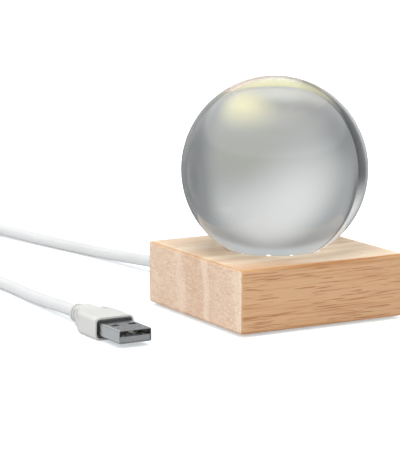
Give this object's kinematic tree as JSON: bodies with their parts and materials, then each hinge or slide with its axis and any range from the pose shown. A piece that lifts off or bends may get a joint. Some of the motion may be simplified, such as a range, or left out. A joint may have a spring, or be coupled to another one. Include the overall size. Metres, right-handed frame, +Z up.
{
  "type": "crystal ball lamp",
  "caption": "Clear solid glass ball resting in the lit well of a square wooden block, fed by a white cable with a USB plug.",
  "frame": {"origin": "under the middle of the wooden block, on the surface that the feet stand on", "axes": "+Z up through the ball; +X along the block's grain; +Y to the back, where the cable leaves"},
  "size_m": [0.1298, 0.2693, 0.0829],
  "materials": {
    "pine": "sanded, thin matt lacquer",
    "crystal": "clear, polished",
    "circuit_board": "white solder mask",
    "led_plastic": "moulded white",
    "phosphor": "clear-filled phosphor",
    "resistor_body": "black film on white ceramic",
    "solder": "bright solder",
    "zinc_screw": "zinc plated",
    "red_wire": "smooth insulation",
    "black_wire": "smooth insulation",
    "cable_jacket": "satin white jacket",
    "clamp_plastic": "moulded, satin",
    "grommet_rubber": "soft white rubber",
    "cover_plastic": "fine spark texture",
    "foot_rubber": "matt silicone",
    "tie_strap": "woven hook-and-loop strap",
    "plug_plastic": "satin moulding",
    "shell_metal": "nickel-plated sheet",
    "tongue_plastic": "moulded, satin",
    "contact_gold": "thin gold plating"
  },
  "bodies": {
    "base": {"wood_base": "pine", "led_board": "circuit_board", "led_packages": "led_plastic", "led_phosphors": "phosphor", "resistors": "resistor_body", "solder_joints": "solder", "board_screws": "zinc_screw", "lead_red": "red_wire", "lead_black": "black_wire", "cable_inner": "cable_jacket", "cable_clamp": "clamp_plastic", "clamp_screws": "zinc_screw", "cable_grommet": "grommet_rubber", "bottom_cover": "cover_plastic", "cover_screws": "zinc_screw", "rubber_feet": "foot_rubber", "cable_lead": "cable_jacket", "cable_coil": "cable_jacket", "cable_tail": "cable_jacket", "coil_tie": "tie_strap", "plug_overmould": "plug_plastic", "plug_shell": "shell_metal", "plug_tongue": "tongue_plastic", "plug_contacts": "contact_gold", "plug_wires": "red_wire"},
    "ball": {"crystal_ball": "crystal"}
  },
  "joints": [
    {"name": "ball_lift", "type": "slide", "parent": "base", "child": "ball", "axis": [0, 0, 1], "range_m": [0, 0.04]}
  ]
}
